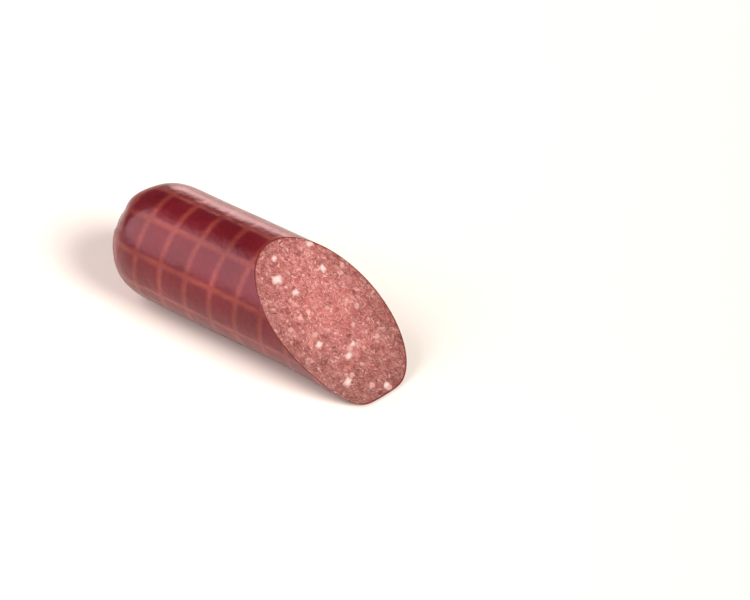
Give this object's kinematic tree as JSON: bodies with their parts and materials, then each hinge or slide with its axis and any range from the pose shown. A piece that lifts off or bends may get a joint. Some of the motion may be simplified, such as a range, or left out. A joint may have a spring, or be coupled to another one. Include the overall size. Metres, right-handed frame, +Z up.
{
  "type": "cured sausage half",
  "caption": "Half of a smoked cured sausage lying on its side, cut at a slant to show the marbled filling, with its casing gathered in a metal clip at the other end.",
  "frame": {"origin": "on the surface it lies on, under the middle of the whole object", "axes": "+X along the sausage from the clipped end to the slanted cut, +Z up"},
  "size_m": [0.1752, 0.062, 0.0612],
  "materials": {
    "smoked_casing": "smoked fibrous casing, dark red with a lighter brick-red net mark, satin gloss",
    "cured_meat": "cut cured meat with fine white fat, slightly moist",
    "clip_aluminium": "pressed bright strip"
  },
  "bodies": {
    "root": {"casing": "smoked_casing", "filling": "cured_meat", "clip": "clip_aluminium"}
  },
  "joints": []
}
